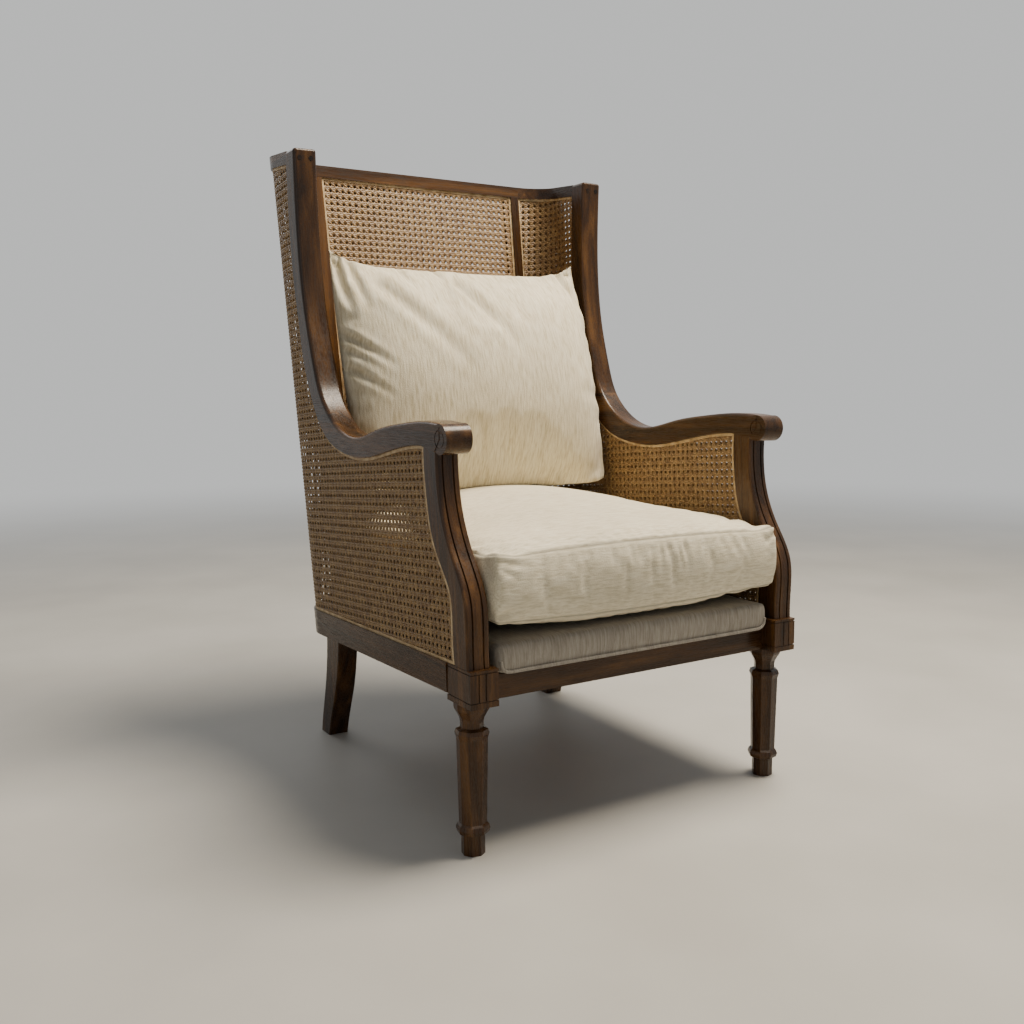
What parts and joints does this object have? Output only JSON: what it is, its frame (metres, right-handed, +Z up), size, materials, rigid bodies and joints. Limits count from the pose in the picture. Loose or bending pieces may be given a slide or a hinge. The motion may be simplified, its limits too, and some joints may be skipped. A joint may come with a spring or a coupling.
{
  "type": "wing armchair",
  "caption": "Caned wing-back armchair with a dark hardwood frame, scrolled arms, faceted front legs, an upholstered deck, a loose seat cushion and a loose back cushion.",
  "frame": {"origin": "on the floor, under the middle of the chair's bounding box", "axes": "+Z up, the sitter faces -Y, +X to the sitter's left"},
  "size_m": [0.6514, 0.774, 1.0841],
  "materials": {
    "dark_wood": "semi-gloss brown polish on open-grained hardwood",
    "plug_wood": "semi-gloss",
    "plain_wood": "bare plywood and softwood, hidden",
    "cane": "natural cane strands, hexagonal weave",
    "reed": "natural reed, satin",
    "cream_fabric": "chenille",
    "taupe_fabric": "chenille"
  },
  "bodies": {
    "frame": {"arm_left": "dark_wood", "arm_post_left": "dark_wood", "arm_post_right": "dark_wood", "arm_right": "dark_wood", "back_post_left": "dark_wood", "back_post_right": "dark_wood", "back_top_rail": "dark_wood", "cane_inner_back": "cane", "cane_inner_left": "cane", "cane_inner_right": "cane", "cane_outer_back": "cane", "cane_outer_left": "cane", "cane_outer_right": "cane", "cleat_left": "plain_wood", "cleat_right": "plain_wood", "deck_pad": "taupe_fabric", "deck_piping": "taupe_fabric", "front_brace_left": "plain_wood", "front_brace_right": "plain_wood", "front_leg_left": "dark_wood", "front_leg_right": "dark_wood", "peg_plugs": "plug_wood", "rear_brace_left": "plain_wood", "rear_brace_right": "plain_wood", "rear_leg_left": "dark_wood", "rear_leg_right": "dark_wood", "reed_inner_back": "reed", "reed_inner_left": "reed", "reed_inner_right": "reed", "reed_outer_back": "reed", "reed_outer_left": "reed", "reed_outer_right": "reed", "seat_board": "plain_wood", "seat_rail_back": "dark_wood", "seat_rail_front": "dark_wood", "seat_rail_left": "dark_wood", "seat_rail_right": "dark_wood", "wing_rail_left": "dark_wood", "wing_rail_right": "dark_wood", "wing_stile_left": "dark_wood", "wing_stile_right": "dark_wood"},
    "seat_cushion": {"seat_cushion": "cream_fabric"},
    "back_cushion": {"back_cushion": "cream_fabric"}
  },
  "joints": [
    {"name": "seat_slide", "type": "slide", "parent": "frame", "child": "seat_cushion", "axis": [0, -1, 0], "range_m": [0, 0.12]},
    {"name": "back_lift", "type": "slide", "parent": "frame", "child": "back_cushion", "axis": [0, 0, 1], "range_m": [0, 0.25]}
  ]
}
